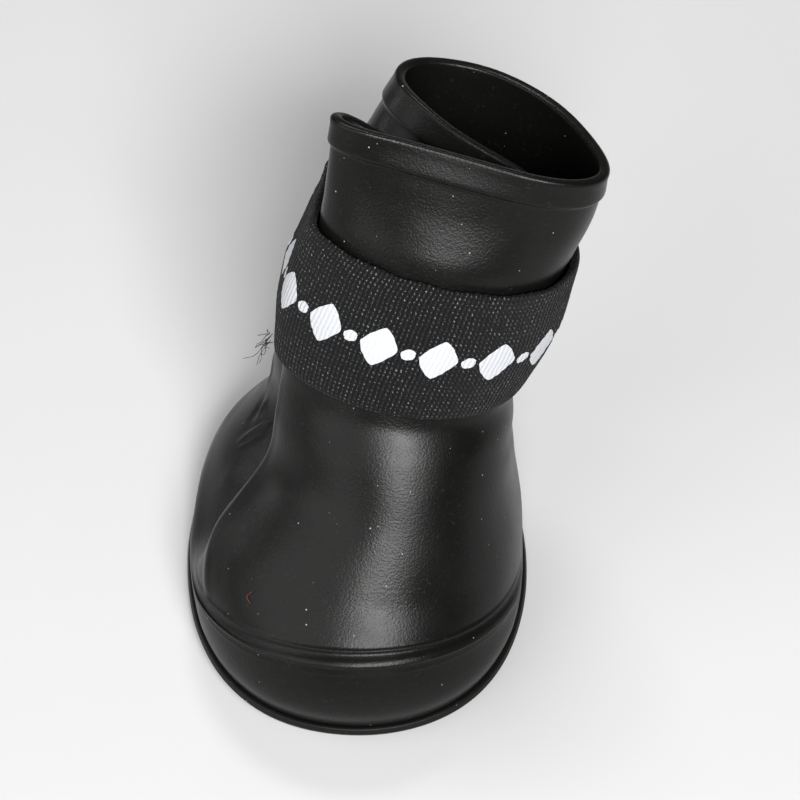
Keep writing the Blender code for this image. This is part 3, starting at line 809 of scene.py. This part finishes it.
def strap_layout(s):
    """Length round the strap, and the shares of it that the lap and the climb onto it take."""
    rings = wall_frame(s, strap_rows(s, np.zeros(1)), np.linspace(0, 1, 721)[:-1])[0]
    around = taut_paths(rings, [s.wall / 2 + s.gap], np.zeros(1))[1][0]
    lap = s.strap_lap / around
    climb = 2.5 * s.strap_thickness / around
    return around, lap, climb


def strap_surface(s, along, across, out):
    """Points of the strap: along in shares of a turn, across from -1 to 1, out from its inner face.

    Each place across lies on its own taut path, moved out by the gap, by the layer below at the lap, and by
    out. It is put on the plane of its section of the upper.
    """
    _, lap, climb = strap_layout(s)
    over = s.strap_end - lap - climb
    lift = held((along - over) / climb)
    lift = (lift * lift * (3 - 2 * lift))[:, None]
    turns = np.linspace(0, 1, 1153)[:-1]
    rows = strap_rows(s, across)
    middle, normal, _ = wall_frame(s, rows, turns)
    rings = middle + normal * s.wall / 2
    out = np.broadcast_to(out, across.shape)
    plain, _ = taut_paths(rings, s.gap + out, along)
    lifted, _ = taut_paths(rings, 2 * s.gap + s.strap_thickness + out, along)
    flat = plain * (1 - lift) + lifted * lift
    ones = np.ones((*middle.shape[:2], 1))
    matrix = np.concatenate([middle[..., :2], ones], axis=2)
    plane = np.stack([np.linalg.lstsq(m, p[:, 2], rcond=None)[0] for m, p in zip(matrix, middle)])
    z = flat[..., 0] * plane[:, :1] + flat[..., 1] * plane[:, 1:2] + plane[:, 2:]
    return np.concatenate([flat, z[..., None]], axis=2)


def rib_height(s, metres):
    """Height of the ribs: the size of the sine of the way along."""
    return RIB_HEIGHT * abs(np.sin(np.pi * metres / s.rib_pitch))


def grid_normals(grid):
    """Unit normals of a grid of points, from the cross product of its two directions."""
    return unit(np.cross(np.gradient(grid, axis=1), np.gradient(grid, axis=0)))


def build_strap(s, colours):
    """Webbing: a flat loop of points with rolled edges carried round the shaft, its outer face ribbed.

    The rib's height is added along the face's normal, and both edges wave by a tenth of a millimetre.
    """
    around, lap, _ = strap_layout(s)
    along = np.linspace(s.strap_end - 1 - lap, s.strap_end, 1060)
    across = eased(19)
    outer = strap_surface(s, along, across, s.strap_thickness)
    inner = strap_surface(s, along, across[1:-1:3], 0.0)
    metres = along * around
    roll = held(1 - abs(across) ** 12) ** 0.5
    thick = (roll - 1)[:, None] * 0.5 * s.strap_thickness + rib_height(s, metres) * roll[:, None]
    outer = outer + grid_normals(outer) * thick[..., None]
    up = unit(outer[-1] - outer[0])
    wave = 0.00008 * np.sin(metres * 2 * np.pi / (2 * s.rib_pitch)) + 0.00012 * np.sin(metres * 900.0)
    outer[0] -= up * wave[:, None]
    outer[-1] += up * wave[:, None]
    loops = np.concatenate([outer, inner[::-1]]).transpose(1, 0, 2)
    places = np.concatenate([across, across[1:-1:3][::-1]]) * s.strap_width / 2
    uv = np.stack(np.broadcast_arrays(metres[:, None], places[None, :]), axis=2)
    strap = add_mesh("strap_webbing", loops, bar_faces(loops[None]), uv)
    finish_piece(strap, webbing_material(colours, s), "strap", "strap")


def build_marks(s, colours):
    """Plain white lozenges and dots on the strap's outer face.

    A mark is a superellipse: a grid from end to end whose half height is its largest one times
    (1 - |x|^p)^(1/p), with x from -1 to 1 along the mark. Its points are read from a grid of the strap's
    face.
    """
    around, lap, climb = strap_layout(s)
    first = (s.strap_end - 1 + 0.02) * around
    last = (s.strap_end - lap - 2 * climb - 0.02) * around
    starts = np.arange(first, last - MARK_PITCH, MARK_PITCH)[:, None]
    columns, lines = 31, 13
    share = np.linspace(-1, 1, lines)
    side = eased(columns)
    points, faces, uv = [], [], []
    for shift, middle, length, height, power in MARKS.values():
        metres = starts + shift + side * length
        across = (middle + share * height) / (s.strap_width / 2)
        full = strap_surface(s, metres.ravel() / around, across, s.strap_thickness)
        full = full + grid_normals(full) * (rib_height(s, metres.ravel()) + MARK_LIFT)[:, None]
        full = full.reshape(lines, *metres.shape, 3)
        reach = held(1 - abs(side) ** power) ** (1 / power)
        place = share[:, None, None] * np.broadcast_to(reach, metres.shape)
        at = (place + 1) / 2 * (lines - 1)
        low = np.minimum(at.astype(int), lines - 2)
        part = (at - low)[..., None]
        which = np.indices(metres.shape)
        grid = full[low, which[0], which[1]] * (1 - part) + full[low + 1, which[0], which[1]] * part
        one = grid_faces(lines, columns)[:, ::-1]
        count = sum(len(p) for p in points)
        steps = (np.arange(len(starts)) * lines * columns)[:, None, None] + count
        faces.append((one[None] + steps).reshape(-1, 4))
        points.append(grid.transpose(1, 0, 2, 3).reshape(-1, 3))
        flat = np.stack(np.broadcast_arrays(metres[None], middle + place * height), axis=3)
        uv.append(flat.transpose(1, 0, 2, 3).reshape(-1, 2))
    marks = add_mesh("strap_print", np.concatenate(points), np.concatenate(faces), np.concatenate(uv))
    finish_piece(marks, print_material(colours, s), "strap")


def build_threads(s, colours):
    """Loose yarn at the strap's lower edge, a red fibre on the upper, and the free end's bristle.

    A thread is a curve that leaves the edge, bends out and down, and curls by two sine waves.
    """
    dice = np.random.default_rng(7)
    along = np.linspace(0.735, 0.775, 40)
    edge = strap_surface(s, along, np.array([-1.0, -0.97]), 0.5 * s.strap_thickness)
    down = unit(edge[0] - edge[1])
    middle = edge.reshape(-1, 3).mean(axis=0)
    count, steps = 10, 16
    pick = dice.integers(4, 36, count)
    root = edge[0, pick]
    away = root - (middle + (0.012, 0.004, 0.0))
    away = unit(away * (1.0, 1.0, 0.3))
    length = dice.uniform(0.0012, 0.0040, count)[:, None, None]
    way = np.linspace(-0.3, 1, steps)[None, :, None]
    heading = away * dice.uniform(0.5, 1.0, (count, 1)) + down[pick] * dice.uniform(0.0, 0.7, (count, 1))
    heading += dice.normal(0.0, 0.28, (count, 3))
    curl = dice.normal(0.0, 0.00035, (2, count, 1, 3))
    turn = dice.uniform(3.0, 8.0, (count, 1, 1))
    paths = root[:, None] + heading[:, None] * length * way
    paths = paths + (curl[0] * np.sin(turn * way) + curl[1] * (1 - np.cos(turn * way))) * abs(way)
    radii = YARN_RADIUS * (1 - 0.4 * np.linspace(0, 1, steps))[None] * dice.uniform(0.7, 1.3, (count, 1))
    loose = add_mesh("strap_threads", *tubes(paths, radii))
    finish_piece(loose, fibre_material("loose_yarn", times(colours.webbing, 2.0), 0.6), "strap")

    way = np.linspace(-1.0, 1.0, 15)
    bent = np.stack([0.0008 * way, -0.0005 * np.cos(2.3 * way)], axis=1)
    middle, normal, up = wall_frame(s, np.full(1, 2.64), np.array([0.250, 0.256, 0.262]))
    out, rise = normal[0, 1], up[0, 1]
    along = np.cross(rise, out)
    lift = s.wall / 2 + 0.00012 + 0.0002 * way**2
    path = middle[0, 1] + bent[:, :1] * rise + bent[:, 1:] * along + lift[:, None] * out
    lint = add_mesh("lint_fibre", *tubes(path[None], np.full((1, 15), LINT_RADIUS)))
    finish_piece(lint, fibre_material("red_lint", (0.11, 0.010, 0.012), 0.6), "upper")

    count, steps = 900, 5
    side = dice.choice([-1.0, 1.0], count)
    at = dice.uniform(s.strap_end - 0.13, s.strap_end, count)
    order = np.argsort(at)
    at, side = at[order], side[order]
    edges = strap_surface(s, at, np.array([-1.0, 1.0]), 0.15 * s.strap_thickness)
    root = np.where(side[:, None] > 0, edges[1], edges[0])
    up = unit(edges[1] - edges[0])
    heading = up * side[:, None] + dice.normal(0.0, 0.45, (count, 3))
    length = dice.uniform(0.0002, 0.0007, count)[:, None, None]
    way = np.linspace(0, 1, steps)[None, :, None]
    bend = dice.normal(0.0, 0.0002, (count, 1, 3))
    paths = root[:, None] + heading[:, None] * length * way + bend * way**2
    bristle = add_mesh("strap_bristle", *tubes(paths, np.full((count, steps), HOOK_RADIUS), 4))
    finish_piece(bristle, fibre_material("hook_tape", times(colours.webbing, 1.6), 0.55), "strap")


def build_stage(colours):
    """Pale floor, soft lamps and the camera of the photograph."""
    scene = bpy.context.scene
    middle = Vector(BOOT_MIDDLE)
    ahead = Vector((0.0, np.cos(CAMERA_ELEVATION), -np.sin(CAMERA_ELEVATION)))
    above = Vector((0.0, np.sin(CAMERA_ELEVATION), np.cos(CAMERA_ELEVATION)))
    lens = bpy.data.cameras.new("camera")
    lens.lens = CAMERA_LENS
    lens.sensor_width = 36.0
    camera = add_object("camera", lens)
    right = ahead.cross(above)
    aim = (ahead * CAMERA_DISTANCE + above * CAMERA_ABOVE + right * CAMERA_RIGHT).normalized()
    right = aim.cross(above).normalized()
    up = right.cross(aim)
    turned = Matrix((right, up, -aim)).transposed().to_4x4()
    camera.matrix_world = Matrix.Translation(middle - ahead * CAMERA_DISTANCE) @ turned
    scene.camera = camera

    corners = [(x * FLOOR_HALF, y * FLOOR_HALF, 0) for x, y in ((-1, -1), (1, -1), (1, 1), (-1, 1))]
    floor = add_mesh("floor", corners, [(0, 1, 2, 3)])
    made, tree, shader, where = new_material("pale_floor", colours.floor, 0.9)
    mottle = noise(tree, where, 30.0, 3.0)
    colour = blend_colour(tree, mottle, colours.floor, times(colours.floor, 0.985))
    feed(tree, shader, {"Base Color": colour})
    floor.data.materials.append(made)

    for name, (place, size, power) in LAMPS.items():
        light = bpy.data.lights.new(name, "AREA")
        light.shape = "RECTANGLE"
        light.size, light.size_y = size
        light.energy = power
        lamp = add_object(name, light)
        lamp.location = place
        lamp.rotation_euler = (middle - Vector(place)).to_track_quat("-Z", "Y").to_euler()
    world = bpy.data.worlds.new("studio")
    world.use_nodes = True
    sky = world.node_tree.nodes["Background"].inputs
    sky["Color"].default_value = (1.0, 1.0, 1.0, 1.0)
    sky["Strength"].default_value = WORLD_STRENGTH
    scene.world = world
    scene.view_settings.view_transform = "Standard"


def build(context, *builders):
    """Runs the builders with the scene's sizes and colours."""
    for builder in builders:
        builder(context.scene.boot_sizes, context.scene.boot_colours)
    return {"FINISHED"}


class BuildUpper(bpy.types.Operator):
    """Builds the moulded upper with its band, bead, fold and creases"""

    bl_idname = "dog_boot.upper"
    bl_label = "Upper"

    def execute(self, context):
        return build(context, build_upper)


class BuildSole(bpy.types.Operator):
    """Builds the sole with its rand, the lugs under it and the insole on it"""

    bl_idname = "dog_boot.sole"
    bl_label = "Sole, Lugs and Insole"

    def execute(self, context):
        return build(context, build_sole, build_lugs, build_insole)


class BuildStrap(bpy.types.Operator):
    """Builds the webbing strap with its white marks"""

    bl_idname = "dog_boot.strap"
    bl_label = "Strap and Marks"

    def execute(self, context):
        return build(context, build_strap, build_marks)


class BuildThreads(bpy.types.Operator):
    """Builds the loose yarn, the lint and the bristle at the strap's free end"""

    bl_idname = "dog_boot.threads"
    bl_label = "Loose Threads"

    def execute(self, context):
        return build(context, build_threads)


class BuildStage(bpy.types.Operator):
    """Builds the floor, the lamps and the camera"""

    bl_idname = "dog_boot.stage"
    bl_label = "Stage"

    def execute(self, context):
        build_stage(context.scene.boot_colours)
        return {"FINISHED"}


OPERATORS = (BuildUpper, BuildSole, BuildStrap, BuildThreads, BuildStage)


class DogBootPanel(bpy.types.Panel):
    """Lists the boot's pieces and its sizes and colours"""

    bl_idname = "VIEW3D_PT_dog_boot"
    bl_label = "Dog Boot"
    bl_space_type = "VIEW_3D"
    bl_region_type = "UI"
    bl_category = "Dog Boot"

    def draw(self, context):
        for operator in OPERATORS:
            self.layout.operator(operator.bl_idname)
        for group in (context.scene.boot_sizes, context.scene.boot_colours):
            for name in group.__annotations__:
                self.layout.prop(group, name)


CLASSES = (BootSizes, BootColours, *OPERATORS, DogBootPanel)


def register():
    for item in CLASSES:
        bpy.utils.register_class(item)
    bpy.types.Scene.boot_sizes = PointerProperty(type=BootSizes)
    bpy.types.Scene.boot_colours = PointerProperty(type=BootColours)


def unregister():
    del bpy.types.Scene.boot_colours
    del bpy.types.Scene.boot_sizes
    for item in reversed(CLASSES):
        bpy.utils.unregister_class(item)


def main():
    """Builds every piece in order."""
    register()
    bpy.ops.dog_boot.upper()
    bpy.ops.dog_boot.sole()
    bpy.ops.dog_boot.strap()
    bpy.ops.dog_boot.threads()
    bpy.ops.dog_boot.stage()


if __name__ == "__main__":
    main()
